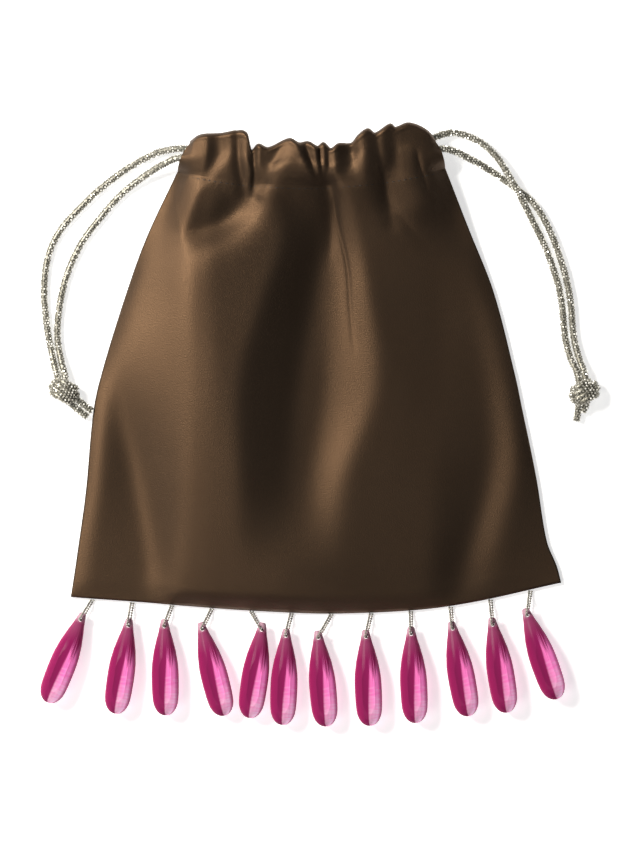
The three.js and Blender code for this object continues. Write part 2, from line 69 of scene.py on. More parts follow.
# Light: a key from the upper left, a weak fill from the lower left, a dim sky and a floor that glows
KEY = {"place": (-858, 530, 1011), "size": 420, "power": 26, "colour": (1, 0.965, 0.91)}
FILL = {"place": (-560, -640, 820), "size": 520, "power": 3.5, "colour": (1, 0.97, 0.93)}
SKY = (0.045, 0.047, 0.05, 1)
FLOOR_GLOW = 0.65
FLOOR_SIZE = 6000
FLOOR_DROP = 0.05

# Outline of the two panels
SIDES = table("up left right", [
    (0, -105, 115.8),
    (0.04, -103.7, 113.8),
    (0.1, -102, 109.3),
    (0.25, -98, 104.6),
    (0.42, -95, 98.1),
    (0.5, -92.2, 95),
    (0.7, -80.6, 85.4),
    (0.85, -70.2, 74.4),
    (1, -56.4, 63.2),
])
BOTTOM = table("across y", [
    (0, -77.4),
    (0.2, -80.6),
    (0.37, -83.3),
    (0.55, -84.6),
    (0.77, -81.5),
    (1, -71),
])
SEAM_LIFT = {"from": 0.71, "rise": 4.5}
STITCH = {"left": 114, "right": 115.5, "dip": 7.5, "power": 0.8}

# The front's top edge: its height along the stitch line, and how far it leans aside
TOP_EDGE = table("x top lean", [
    (-56.4, 127.6, 5.5),
    (-47, 130.4, 1),
    (-38.5, 130.9, 1),
    (-33.5, 131.5, 0),
    (-30.5, 132, 0),
    (-25.6, 130.8, 0),
    (-23.8, 123.6, 0),
    (-20.4, 126, 0),
    (-16, 124.4, 0),
    (-7.8, 128.4, 1),
    (-2.2, 126.5, 0),
    (2, 127, 0),
    (6, 125, 0),
    (8.8, 126.6, 0),
    (12, 124, 0),
    (15.5, 126.2, 0),
    (21, 126.6, 0.5),
    (23.4, 130, 1),
    (27.5, 132.8, 1),
    (32, 131, 0),
    (37.5, 135, 1),
    (40.4, 133.6, 0.5),
    (47, 135.6, 0),
    (55, 132.8, -0.5),
    (63.2, 128.4, -4.4),
])

# The front's main crests and valleys, from its left seam to its right: how far to the right each lies
# and how high, at these levels from the mouth down to the bottom
CREASE_LEVELS = np.array([112, 90, 60, 20, -20, -60, -76], float)
CREASES = {
    "left_strip": [(-54, 9.6), (-65.4, 5.6), (-75, 4.8), (-89, 4), (-96.5, 4.4), (-101, 3.2), (-102, 3)],
    "left_hollow": [(-50.5, 11.4), (-59, 8.6), (-68, 8.2), (-83, 5.2), (-76, 2), (-68.5, 2), (-69, 2)],
    "left_ridge": [(-45, 13.6), (-50.4, 13.8), (-52, 16.4), (-51, 16.8), (-53, 14.4), (-56, 9), (-59, 6)],
    "left_flat": [(-40, 15.6), (-42, 15.4), (-42, 16.8), (-40, 18), (-42, 15.8), (-44, 10.2), (-46, 6.6)],
    "slope_top": [(-22, 17.2), (-9, 13), (-17, 14.4), (-28, 17.4), (-28, 16.6), (-28, 10.8), (-30, 6.8)],
    "slope_foot": [(-2, 17.4), (6.5, 6.8), (3, 4.2), (-4, 6.8), (-8, 9.4), (-10, 11), (-12, 6.8)],
    "valley": [(10.5, 15), (12.4, 6.2), (9.5, 3.7), (10, 5), (2, 7.8), (-2, 10.8), (-4, 6.6)],
    "left_crest": [(14.5, 18), (15.4, 7), (16, 4.2), (18, 6), (8, 8.2), (6, 10.4), (6, 6.4)],
    "right_crest": [(18.5, 18.6), (23, 10.2), (28.5, 8.8), (33, 8.5), (19, 10.6), (16, 9.8), (16, 6.2)],
    "right_slope": [(30, 18), (34, 9.8), (45, 6.4), (46, 6.8), (40, 8.6), (36, 8.2), (34, 5.4)],
    "right_foot": [(40, 16.2), (46, 9), (60, 4.4), (62, 4.3), (60, 6.4), (59, 6.6), (57, 4.6)],
    "right_valley": [(48, 14.6), (58, 7), (72, 3.4), (81, 2), (84, 1.9), (73, 2.4), (69, 2.2)],
    "right_ridge": [(54, 12.6), (66, 5.2), (78, 3), (92, 2.6), (97.5, 3.8), (88, 4), (84, 3)],
}

# How softly the creases turn, how far from the side seams they stay, and how high above the bottom seam
# they are full
CREASE_SOFTNESS = 40
SEAM_ROOM = 3
LOFT_BOTTOM = 9

# Smaller folds, most of them from the mouth down: the fold's line, its half width to the west and to the
# east of it, and its height at the start, halfway and at the end
FOLDS = [
    ([(-43.5, 129.5), (-44, 121), (-46, 113)], (10, 2.6), (1, 1.5, 0.8)),
    ([(-36.8, 128), (-37.2, 121), (-42.6, 112.5)], (4.2, 3.6), (-0.9, -1.3, -0.7)),
    ([(-33.2, 130), (-33.2, 121), (-40.5, 112.5)], (2.8, 3.2), (0.5, 0.6, 0.3)),
    ([(-40.5, 112.5), (-49, 102), (-55, 85)], (6, 3.4), (0.4, 1.4, 0.8)),
    ([(-25, 105), (-28, 99), (-35, 92.5), (-44, 87.6), (-54.5, 85.6)], (7.5, 8.4), (-1.4, -4.4, -1)),
    ([(-29.6, 129), (-29, 118), (-26.4, 104.5)], (2.6, 2.2), (-1.2, -1.7, -0.9)),
    ([(-25.8, 131), (-25.4, 118), (-24.4, 108), (-23.6, 103)], (2.4, 1.8), (0.3, 0.5, 0.2)),
    ([(-22.4, 123), (-22.2, 114), (-23, 104)], (1.7, 2.2), (-1.4, -1.6, -0.8)),
    ([(-19.8, 125.5), (-20.2, 119), (-20.4, 114)], (1.5, 1.4), (0.8, 0.8, 0.2)),
    ([(-8, 127), (-14.6, 115), (-21.4, 103.5)], (3.6, 4), (-2, -2.8, -1.4)),
    ([(-5.4, 128), (-11, 117), (-14.6, 109), (-17.6, 101)], (4, 6), (1, 2.5, 0.8)),
    ([(-12, 104), (-16, 98), (-22.5, 90), (-33, 82.6), (-44, 78), (-54, 76)], (6, 9), (0.3, 1.3, 0.2)),
    ([(-4.5, 127), (0.2, 118), (3.6, 111)], (1.8, 1.5), (0.8, 0.9, 0.5)),
    ([(0.4, 126.5), (3.2, 118), (6, 111)], (2.4, 1.3), (-0.9, -1.1, -0.7)),
    ([(5, 126), (5.8, 119), (6.6, 113.5)], (1.4, 1.2), (0.8, 0.8, 0.2)),
    ([(6.9, 126), (7.4, 119), (8, 113)], (1.1, 1.1), (-0.6, -0.8, -0.3)),
    ([(8.8, 126), (9.2, 119), (9, 113)], (1.4, 1.3), (0.8, 0.9, 0.2)),
    ([(10.5, 125), (11.2, 113), (13, 100), (12.6, 88), (11, 74)], (3.6, 2.8), (-1.2, -1.6, -0.2)),
    ([(13.6, 126.5), (13.6, 117), (15, 108)], (2, 2.4), (0.9, 1, 0.5)),
    ([(21.2, 124.5), (21.6, 118)], (5, 3.2), (-2.4, -3, -2.2)),
    ([(26.5, 132), (26.5, 122), (27.5, 112)], (4, 5), (1, 1.3, 0.8)),
    ([(32.3, 131), (33.5, 121), (35.5, 110), (39.5, 90)], (3, 2.4), (-0.7, -1, -0.4)),
    ([(36.6, 134.5), (35, 127), (36.5, 119)], (3, 3), (0.8, 0.8, 0.4)),
    ([(41.2, 124), (40.6, 118), (38.6, 112)], (4.5, 5), (-1, -1.4, -0.9)),
    ([(43.5, 133.5), (44, 125), (45.5, 114)], (3, 15), (0.4, 0.7, 0.3)),
    ([(50.5, 122), (52, 116), (55.5, 105)], (1.2, 1.2), (-0.3, -0.8, -0.2)),
    ([(60, 104), (53, 99), (45, 92)], (9, 8), (0.8, 2, 0.3)),
    ([(37.5, 112), (38.5, 104), (41, 95)], (5, 8), (-1.2, -1.4, -0.2)),
    ([(13.6, 101), (15.5, 90), (19.6, 71), (21, 52), (23, 30)], (0.9, 0.9), (-0.4, -0.6, 0)),
]
FOLD_PARTS = 8
FOLD_PROFILE = {"round": 0.45, "fall": 0.85, "foot": 0.4}
FOLDS_FADE = {"side": 0.05, "bottom": 0.06}

# Casing: a tunnel folded to the inside of each panel, with its hem's height and the tunnel's height at
# the ends and in the middle
HEM_STEP = 1.6
TOP_FOLD = 1.5
CASING_ROWS = (0.1, 0.2, 0.35, 0.5, 0.65, 0.8, 0.9, 1)
CASING_SWELL = {"power": 1.15, "top": 0.62}
HEM_ROWS = (0.92, 0.45, 0.1)
HEM_ROOM = 3.4
CASING_PARTS = 4
FRONT_CASING = {"hem": (7.6, 16.4), "tunnel": (3.1, 2)}
BACK_CASING = {"hem": (6.5, 8.2), "tunnel": (4.3, 4.3)}
GROOVE = {"deep": 0.3, "half": 1}

# How fine the panels are, and the back's own top edge and gathers
FRONT_GRID = {"columns": 260, "rows": 140}
BACK_GRID = {"columns": 120, "rows": 60}
BACK = {"left": -55.4, "right": 62, "lean": 6, "lean_share": 0.15, "gathers": 7, "rise": 1.6}
BACK_TOP = table("across top", [
    (0, 128.5),
    (0.15, 129),
    (0.26, 122.8),
    (0.4, 123),
    (0.6, 122.8),
    (0.8, 131),
    (0.93, 130.5),
    (1, 126.5),
])

# Stitches along the casing: how high they lie on the cloth, their step, how many are left out at each end,
# and the shape of one
STITCH_LIFT = 0.33
STITCH_STEP = 2.6
STITCHES_LEFT_OUT = 2
STITCH_SHAPE = {"radius": 0.24, "straight": 1.2, "end": 0.35, "taper": 0.45, "dive": 0.2, "sides": 8}

# Drawcords from inside the casing to the knot
CORDS = {
    "left_cord_back": [
        (-46, 122.8, 4.2), (-50, 123.6, 4), (-54.5, 124.4, 3.6), (-60, 124, 2.8), (-66, 122.6, 2.1),
        (-73, 119.3, 1.8), (-80, 115.2, 1.8), (-86.6, 110.4, 1.8), (-93.3, 105, 1.8),
        (-99, 99.6, 1.8), (-104.8, 93.6, 1.8), (-109.5, 88, 1.8), (-113.4, 81, 1.8),
        (-115.8, 73.5, 1.8), (-116.9, 65, 1.8), (-117, 56.5, 1.8), (-116.3, 48.7, 1.8),
        (-115.3, 41, 1.8), (-114, 34.6, 1.8), (-112.8, 28.6, 2.8), (-111.1, 22.8, 4.2),
    ],
    "left_cord_front": [
        (-50.5, 120, 10.4), (-54, 120, 10), (-57.8, 119.6, 9.4), (-62, 117.7, 8.2),
        (-67.1, 115, 6), (-73.9, 110.5, 3.4), (-80.5, 105.4, 2), (-85.7, 100.3, 1.8),
        (-91.5, 93.5, 1.8), (-97, 86.6, 1.8), (-101, 80.4, 1.8), (-104.4, 73.6, 1.8),
        (-107, 66.8, 1.8), (-109, 59.4, 1.8), (-110.4, 51.6, 1.8), (-111, 44.8, 1.8),
        (-111, 38.8, 1.8), (-110.3, 33.4, 2), (-109.1, 28, 3), (-107.7, 22.8, 4.2),
    ],
    "right_cord_back": [
        (49, 127, 4.5), (53, 127.8, 4.5), (58, 129, 4.3), (63, 131, 3.5), (68, 131.5, 3),
        (73, 130.3, 2.8), (79.2, 127.4, 2.8), (84, 123.4, 3.1), (88.2, 118.6, 3.7),
        (91.5, 113.2, 4.4), (94.4, 108.2, 4.8), (96.6, 104.2, 4.6), (99, 99.6, 3.7),
        (101.5, 94.6, 2.6), (104, 89.6, 1.9), (106.7, 84.2, 1.8), (109.8, 77, 1.8),
        (112.7, 68.8, 1.8), (115, 60.6, 1.8), (116.3, 52.6, 1.8), (116.9, 45, 1.8),
        (117.8, 38, 1.8), (119.8, 30.4, 2.6), (122.8, 23.8, 4.2),
    ],
    "right_cord_front": [
        (54.5, 122.4, 10.4), (59, 123.5, 10), (63.5, 124, 9.3), (68.4, 122.6, 8.1), (73.8, 120, 6.3),
        (79.2, 117.3, 4.3), (86.4, 112.8, 2.2), (91.5, 109.3, 1.8), (95.9, 106.2, 1.8),
        (101.7, 101.5, 1.8), (105.4, 97, 1.8), (108.6, 91.6, 1.8), (111.9, 84.6, 1.8),
        (114.8, 76.6, 1.8), (117.2, 69, 1.8), (119, 61.4, 1.8), (120.2, 53.6, 1.8),
        (120.8, 45.4, 1.8), (121.6, 38.4, 1.8), (123.6, 30.4, 2.6), (126, 23.8, 4.2),
    ],
}
KNOTS = {
    "left_knot": {
        "strands": (
            [(-111.1, 22.8, 4.2), (-109.6, 15.6, 4.8), (-104.6, 9.4, 3.6), (-97.8, 3.8, 1.8)],
            [(-107.7, 22.8, 4.2), (-106.4, 16, 4.8), (-102.2, 11.6, 3.6), (-95.6, 6.4, 1.8)],
        ),
        "middle": (-107.9, 15.4, 4.9),
        "turn": -28,
    },
    "right_knot": {
        "strands": (
            [(122.8, 23.8, 4.2), (124.2, 15.4, 4.8), (123.4, 7.6, 3.2), (122.7, 2.2, 1.8)],
            [(126, 23.8, 4.2), (127.4, 15.4, 4.8), (127, 9.6, 3.4), (125.5, 6.2, 2.4)],
        ),
        "middle": (126, 14.8, 4.9),
        "turn": 28,
    },
}
KNOT_WRAPS = [(3.3, 3.9), (1.1, 5.6), (-1.1, 5.8), (-3.3, 4.2)]
KNOT_HIGH = 3.1
KNOT_PARTS = {"strand": 8, "wrap": 32}

# Crystal net of the cords: how many stones lie around the core, one stone's size, how it sits there, and
# the core itself
STONES_AROUND = 7
STONE = {"wide": 1, "high": 0.5, "table": 0.5, "sides": 6, "sunk": 0.14, "tilt": 14}
STONE_ROW = 0.95
STONE_SEED = 11
CORE = {"radius": 1.4, "sides": 12, "step": 0.9}

# Drops along the bottom seam: swing from straight down, and where the tip lies from the place on the
# seam that its loop is sewn to
LOOP_PITCH = 17.94
FIRST_LOOP_X = -95.4
DROPS = table("swing aside down", [
    (-21.7, -3.8, 6.3),
    (-8.4, -1, 7.4),
    (1, -3.3, 6.4),
    (14.6, -5, 6.5),
    (-8, 5.1, 5.4),
    (-2.2, -2.3, 7.2),
    (5.1, -6.1, 7.6),
    (2.6, -2.5, 7.6),
    (2.8, -0.1, 7.3),
    (10.4, 0.1, 6.8),
    (9.2, 0.3, 8.3),
    (19.7, -2.7, 8.2),
])

# One drop: its facets, its outline from the tip down, its table, the way it lies on its belly, the finish
# of its edges, and its drilled hole
DROP_FACETS = 20
DROP_OUTLINE = table("down half", [
    (0.15, 1.1),
    (0.7, 1.62),
    (4.2, 2.4),
    (6.1, 2.8),
    (8.9, 3.65),
    (11.6, 4.3),
    (14.4, 5),
    (17.1, 5.42),
    (19.9, 5.85),
    (22.7, 6.06),
    (25.4, 6.15),
    (28.1, 6.15),
    (31, 6.1),
    (33.6, 6.02),
    (36.4, 5.8),
    (38.4, 5.45),
    (40.2, 4.75),
    (41.6, 3.85),
    (42.6, 2.8),
    (43.2, 1.7),
    (43.45, 0.8),
])
DROP_TABLE = 0.88
DROP_BELLY = {"share": 0.64, "angle": 18}
DROP_BEVEL = {"width": 0.12, "angle": 14}
DROP_SMOOTH = 9
TIP_Z = 4.4
HOLE = {"down": 3.4, "radius": 0.9, "sides": 16}

# A loop from the seam over the drop's tip and through the hole
TIP_HALF = 2.2
LOOP_OVER = {"share": 0.68, "high": 2.8}
LOOP_ROOM = 0.2
LOOP_BELOW_SEAM = 0.6
STRAND_ASIDE = 0.5

# Seed beads: their shape as shares of their width, their step, and the thread that they are strung on
BEAD_SHAPE = {"ring": 0.29, "round": 0.21, "tall": 1.5, "around": 10, "sides": 6}
BEAD_STEP = 0.92
BEAD_THREAD = 0.22
BEAD_SEED = 23


def clamp(t):
    return np.clip(t, 0, 1)


def ease(t):
    t = clamp(t)
    return t * t * (3 - 2 * t)


def mix(a, b, t):
    return a + (b - a) * t


def arch(share):
    return np.sin(np.pi * clamp(share))


def glide(rows, key, at, column):
    """A smooth line through a table's column, read at values of its key column."""
    keys, values = rows[key], rows[column]
    last = len(keys) - 1
    before = np.maximum(np.arange(last + 1) - 1, 0)
    after = np.minimum(np.arange(last + 1) + 1, last)
    slope = (values[after] - values[before]) / (keys[after] - keys[before])
    k = np.clip(np.searchsorted(keys, at) - 1, 0, last - 1)
    span = keys[k + 1] - keys[k]
    t = clamp((at - keys[k]) / span)
    bend = t * (1 - t) * span * (slope[k] * (1 - t) - slope[k + 1] * t)
    return mix(values[k], values[k + 1], ease(t)) + bend


def smooth_line(points, parts):
    """Points on an even curve through the given ones, with some parts between each two."""
    given = np.array(points, float)
    before, after = 2 * given[0] - given[1], 2 * given[-1] - given[-2]
    padded = np.concatenate([[before], given, [after]])
    t = (np.arange(parts) / parts).reshape(-1, *[1] * (given.ndim - 1))
    pieces = []
    for a, b, c, d in zip(padded, padded[1:], padded[2:], padded[3:]):
        pieces.append(0.5 * (2 * b + (c - a) * t + (2 * a - 5 * b + 4 * c - d) * t ** 2
                             + (3 * b - a - 3 * c + d) * t ** 3))
    return np.concatenate([*pieces, given[-1:]])


def even_line(points, step):
    """A smooth line with its points at equal steps along it."""
    fine = smooth_line(points, LINE_PARTS)
    run = np.concatenate([[0], np.cumsum(np.linalg.norm(np.diff(fine, axis=0), axis=1))])
    count = max(2, round(run[-1] / step) + 1)
    at = np.linspace(0, run[-1], count)
    return np.stack([np.interp(at, run, fine[:, n]) for n in range(3)], axis=1)


def line_length(points):
    return float(np.linalg.norm(np.diff(points, axis=0), axis=1).sum())


def unit(vectors):
    return vectors / np.linalg.norm(vectors, axis=-1, keepdims=True)


# Shader sums
class Wire:
    """A socket of a material that takes part in sums."""

    def __init__(self, finish, socket):
        self.finish = finish
        self.socket = socket

    def sum(self, operation, first, second):
        return self.finish.node("ShaderNodeMath", {"operation": operation}, {0: first, 1: second})

    def __add__(self, other):
        return self.sum("ADD", self, other)

    def __radd__(self, other):
        return self.sum("ADD", other, self)

    def __sub__(self, other):
        return self.sum("SUBTRACT", self, other)

    def __rsub__(self, other):
        return self.sum("SUBTRACT", other, self)

    def __mul__(self, other):
        return self.sum("MULTIPLY", self, other)

    def __rmul__(self, other):
        return self.sum("MULTIPLY", other, self)


class Finish:
    """A material whose nodes are added one by one around its main shader."""

    def __init__(self, name):
        self.material = bpy.data.materials.new(name)
        self.material.use_nodes = True
        self.tree = self.material.node_tree
        self.shader = self.tree.nodes["Principled BSDF"]

    def join(self, socket, value):
        if isinstance(value, Wire):
            self.tree.links.new(value.socket, socket)
        else:
            socket.default_value = value

    def node(self, kind, settings, sockets, output=0):
        made = self.tree.nodes.new(kind)
        for key, value in settings.items():
            if key == "stops":
                self.set_stops(made.color_ramp.elements, value)
            else:
                setattr(made, key, value)
        for key, value in sockets.items():
            self.join(made.inputs[key], value)
        return Wire(self, made.outputs[output])

    def set_stops(self, elements, stops):
        while len(elements) < len(stops):
            elements.new(1)
        for element, (position, colour) in zip(elements, stops):
            element.position = position
            element.color = colour

    def set(self, sockets):
        for name, value in sockets.items():
            self.join(self.shader.inputs[name], value)

    def blend(self, factor, first, second):
        return self.node("ShaderNodeMix", {"data_type": "RGBA"}, {0: factor, 6: first, 7: second}, 2)

    def attribute(self, name):
        return self.node("ShaderNodeAttribute", {"attribute_name": name}, {}, "Fac")

    def noise(self, vector, scale, detail):
        return self.node("ShaderNodeTexNoise", {}, {"Vector": vector, "Scale": scale, "Detail": detail})

    def bump(self, height, strength, distance):
        sockets = {"Height": height, "Strength": strength, "Distance": distance}
        self.set({"Normal": self.node("ShaderNodeBump", {}, sockets)})


def clamp_wire(wire):
    return wire.finish.node("ShaderNodeClamp", {}, {0: wire})


def satin_finish():
    """Dark brown satin: fine warp floats, a soft sheen and a little unevenness in the dye."""
    finish = Finish("satin")
    cloth = finish.node("ShaderNodeUVMap", {"uv_map": "cloth"}, {})
    warp = finish.node("ShaderNodeTexWave", {"bands_direction": "X"}, {
        "Vector": cloth, "Scale": 0.75, "Distortion": 1.2, "Detail": 2, "Detail Scale": 1.5})
    weft = finish.node("ShaderNodeTexWave", {"bands_direction": "Y"}, {
        "Vector": cloth, "Scale": 0.5, "Distortion": 2, "Detail": 2, "Detail Scale": 1.5})
    slub = finish.noise(cloth, 1.6, 3)
    cloud = finish.noise(cloth, 0.045, 3)
    thread = 0.1 * warp + 0.05 * weft + 0.9 * slub
    dye = clamp_wire(0.3 * thread + 0.9 * cloud - 0.25)
    finish.set({
        "Base Color": finish.blend(dye, (0.0092, 0.0078, 0.0067, 1), (0.0142, 0.0119, 0.01, 1)),
        "Roughness": 0.36 + 0.26 * slub,
        "Specular IOR Level": 1,
        "Specular Tint": (1, 0.58, 0.31, 1),
    })
    finish.bump(thread, 0.6, 0.0002)
    return finish.material


def net_finish():
    finish = Finish("crystal_net")
    place = finish.node("ShaderNodeTexCoord", {}, {}, "Object")
    grain = finish.noise(place, 900, 2)
    finish.set({
        "Base Color": finish.blend(grain, (0.14, 0.132, 0.105, 1), (0.34, 0.325, 0.265, 1)),
        "Metallic": 0.8,
        "Roughness": 0.3 + 0.2 * grain,
    })
    return finish.material


def crystal_finish():
    """Clear foiled stones: every one has a faint painted glow and some a bright painted glint, both
    emission seen at any angle, and each is lighter, darker or warmer than the next.
    """
    finish = Finish("crystal_stones")
    glint = finish.attribute("glint")
    # Painted glints: stones with the highest draws get a bright emission colour, the others a faint one
    painted_glint = clamp_wire(2.4 * glint - 1.4)
    finish.set({
        "Base Color": finish.node("ShaderNodeValToRGB", {"stops": [
            (0, (0.2, 0.19, 0.155, 1)),
            (0.35, (0.42, 0.405, 0.35, 1)),
            (0.7, (0.62, 0.6, 0.53, 1)),
            (1, (0.9, 0.88, 0.82, 1)),
        ]}, {"Fac": glint}),
        "Metallic": 0.3,
        "Roughness": 0.22 - 0.12 * glint,
        "Coat Weight": 0.4,
        "Coat Roughness": 0.03,
        # Painted glints and a faint painted glow, as emission
        "Emission Color": finish.blend(painted_glint, (0.075, 0.072, 0.062, 1), (0.6, 0.58, 0.52, 1)),
        "Emission Strength": 1,
    })
    return finish.material


def bead_finish():
    finish = Finish("silver_beads")
    glint = finish.attribute("glint")
    finish.set({
        "Base Color": finish.blend(glint, (0.3, 0.29, 0.26, 1), (0.55, 0.53, 0.47, 1)),
        "Metallic": 0.2,
        "Roughness": 0.28 - 0.1 * glint,
    })
    return finish.material


def drop_finish():
    """Magenta crystal with painted light: painted shade on one side, painted highlight streaks from its
    facets on the other, a pale clear tip.
    """
    finish = Finish("magenta_crystal")
    along = finish.attribute("along")
    across = finish.attribute("across")
    # Magenta with painted shade, the colour wherever the painted light does not reach, lighter towards both
    # edges
    shaded_magenta = finish.node("ShaderNodeValToRGB", {"stops": [
        (0, (0.5, 0.05, 0.19, 1)),
        (0.08, (0.33, 0.018, 0.11, 1)),
        (0.3, (0.27, 0.018, 0.1, 1)),
        (0.55, (0.32, 0.018, 0.12, 1)),
        (0.9, (0.4, 0.03, 0.15, 1)),
        (1, (0.5, 0.08, 0.24, 1)),
    ]}, {"Fac": 0.5 * across + 0.5})
    # Painted highlight streaks run along the drop, from its middle to short of its far edge, where light
    # through the drop would fall
    highlight_streak_place = finish.node("ShaderNodeCombineXYZ", {}, {0: 15 * across, 1: 1.1 * along})
    highlight_streak = finish.noise(highlight_streak_place, 1.5, 2)
    ripple_place = finish.node("ShaderNodeCombineXYZ", {}, {0: across, 1: 40 * along})
    ripple = finish.noise(ripple_place, 1, 1)
    # Where the painted light lies: from the middle of the drop towards one side, broken into streaks
    start = clamp_wire(8 * (across + 0.35 * along - 0.2))
    stop = clamp_wire(4 * (0.95 - across))
    painted_light = start * stop * clamp_wire(8.8 * (along + highlight_streak - 0.92) + 0.5)
    # Painted light: bright pink over the painted shade where the streaks fall
    body = finish.blend(painted_light, shaded_magenta, (0.95, 0.2, 0.54, 1))
    # A painted pale highlight towards the bottom, with fine cross lines, inside the painted light
    pale = clamp_wire(2.6 * (along - 0.6) + 2 * (ripple - 0.5) * along)
    body = finish.blend(0.55 * painted_light * pale, body, (1, 0.76, 0.9, 1))
    # The tip is clear and pale, and the far side has a painted glow, an emission standing for light that
    # passes through
    tip = clamp_wire(14 * (0.07 + 0.09 * highlight_streak - along)) + 0.12 * clamp_wire(6 * (0.32 - along))
    far = clamp_wire(1.7 * across - 0.1) * painted_light
    painted_glow_colour = finish.blend(pale, (0.34, 0.1, 0.24, 1), (0.34, 0.24, 0.32, 1))
    finish.set({
        "Base Color": finish.blend(clamp_wire(tip), body, (0.62, 0.37, 0.46, 1)),
        "Roughness": 0.2,
        "Transmission Weight": 0.15,
        "IOR": 1.2,
        "Specular IOR Level": 0.03,
        # Painted glow on the far side, as emission
        "Emission Color": finish.blend(far, (0, 0, 0, 1), painted_glow_colour),
        "Emission Strength": 1,
    })
    return finish.material


def floor_finish():
    finish = Finish("pale_floor")
    place = finish.node("ShaderNodeTexCoord", {}, {}, "Object")
    grain = finish.noise(place, 3, 2)
    finish.set({
        "Base Color": finish.blend(grain, (0.88, 0.88, 0.88, 1), (0.92, 0.92, 0.92, 1)),
        "Roughness": 0.85,
        "Specular IOR Level": 0.2,
        "Emission Color": (1, 1, 1, 1),
        "Emission Strength": FLOOR_GLOW,
    })
    return finish.material


def thread_finish():
    finish = Finish("sewing_thread")
    place = finish.node("ShaderNodeTexCoord", {}, {}, "Object")
    twist = finish.noise(place, 2500, 2)
    finish.set({
        "Base Color": finish.blend(twist, (0.009, 0.0066, 0.0048, 1), (0.018, 0.0135, 0.01, 1)),
        "Roughness": 0.5,
    })
    finish.bump(twist, 0.3, 0.0001)
    return finish.material


# Meshes
def deselect():
    if bpy.context.mode != "OBJECT":
        bpy.ops.object.mode_set(mode="OBJECT")
    bpy.ops.object.select_all(action="DESELECT")


def make_active(piece):
    deselect()
    piece.select_set(True)
    bpy.context.view_layer.objects.active = piece


def apply_modifier(piece, kind, settings):
    make_active(piece)
    modifier = piece.modifiers.new(kind.lower(), kind)
    for key, value in settings.items():
        setattr(modifier, key, value)
    bpy.ops.object.modifier_apply(modifier=modifier.name)


def mesh_piece(name, points, faces, finishes):
    """A new piece from points in millimetres and faces."""
    mesh = bpy.data.meshes.new(name)
    mesh.from_pydata((np.asarray(points) * MM).tolist(), [], [tuple(f) for f in faces])
    mesh.update()
    for finish in finishes:
        mesh.materials.append(finish)
    piece = bpy.data.objects.new(name, mesh)
    bpy.context.scene.collection.objects.link(piece)
    return piece


def shade_smooth(piece):
    piece.data.polygons.foreach_set("use_smooth", np.ones(len(piece.data.polygons), bool))


def grid_faces(rows, columns):
    index = np.arange(rows * columns).reshape(rows, columns)
    corners = (index[:-1, :-1], index[:-1, 1:], index[1:, 1:], index[1:, :-1])
    return np.stack([c.ravel() for c in corners], axis=1).tolist()


def settle(piece, slot, *nodes):
    """The piece rides on the part and stands for its nodes, whose parts are hidden; the slot is not used.
    """
    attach(piece, "root")
    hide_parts(*nodes)


# Panels
def front_columns():
    share = np.linspace(0, 1, FRONT_GRID["columns"])
    x = mix(TOP_EDGE["x"][0], TOP_EDGE["x"][-1], share)
    edge = {column: glide(TOP_EDGE, "x", x, column) for column in ("top", "lean")}
    return {"x": x, "share": share, "rise": 0 * x, **edge}


def back_columns():
    share = np.linspace(0, 1, BACK_GRID["columns"])
    wave = (1 - np.cos(2 * np.pi * BACK["gathers"] * share)) / 2
    ends = ease(1 - share / BACK["lean_share"]) - ease(1 - (1 - share) / BACK["lean_share"])
    return {
        "x": mix(BACK["left"], BACK["right"], share),
        "share": share,
        "rise": BACK["rise"] * wave * arch(share),
        "lean": BACK["lean"] * ends,
        "top": glide(BACK_TOP, "across", share, "top"),
    }


def stitch_line(share):
    return mix(STITCH["left"], STITCH["right"], share) - STITCH["dip"] * arch(share) ** STITCH["power"]


def in_plan(columns, up):
    """Places of a panel's points from above, for a column of shares of its height."""
    left = glide(SIDES, "up", up, "left")
    right = glide(SIDES, "up", up, "right")
    x = mix(left, right, columns["share"])
    y = mix(glide(BOTTOM, "across", columns["share"], "y"), stitch_line(columns["share"]), up)
    return x, y


def fold_height(fold, x, y):
    """Height that one long fold adds: a soft ridge or valley along its line."""
    points, (west, east), (start, middle, end) = fold
    line = smooth_line(points, FOLD_PARTS)
    best = np.full(x.shape, np.inf)
    along = np.zeros(x.shape)
    side = np.zeros(x.shape)
    for n, (a, b) in enumerate(zip(line, line[1:])):
        dx, dy = b - a
        length = math.hypot(dx, dy)
        t = clamp(((x - a[0]) * dx + (y - a[1]) * dy) / length ** 2)
        ax, ay = x - a[0] - t * dx, y - a[1] - t * dy
        away = np.hypot(ax, ay)
        nearer = away < best
        best = np.where(nearer, away, best)
        along = np.where(nearer, (n + t) / (len(line) - 1), along)
        side = np.where(nearer, (dx * ay - dy * ax) / length, side)
    lean = ease(0.5 + 0.5 * side / np.maximum(best, TINY))
    half = mix(west, east, lean)
    spread = np.hypot(best / half, FOLD_PROFILE["round"]) - FOLD_PROFILE["round"]
    bow = 4 * along * (1 - along) * (middle - (start + end) / 2)
    fall = spread * (FOLD_PROFILE["fall"] + FOLD_PROFILE["foot"] * spread)
    return (mix(start, end, along) + bow) * np.exp(-fall)


def front_folds(columns, x, y):
    """Height that all the smaller folds add to the front, less towards its side seams."""
    share = columns["share"]
    edge = ease(np.minimum(share, 1 - share) / FOLDS_FADE["side"])
    return edge * sum(fold_height(fold, x, y) for fold in FOLDS)


def no_folds(columns, x, y):
    return 0 * x


def seam_lift(up):
    return SEAM_LIFT["rise"] * ease((up - SEAM_LIFT["from"]) / (1 - SEAM_LIFT["from"]))


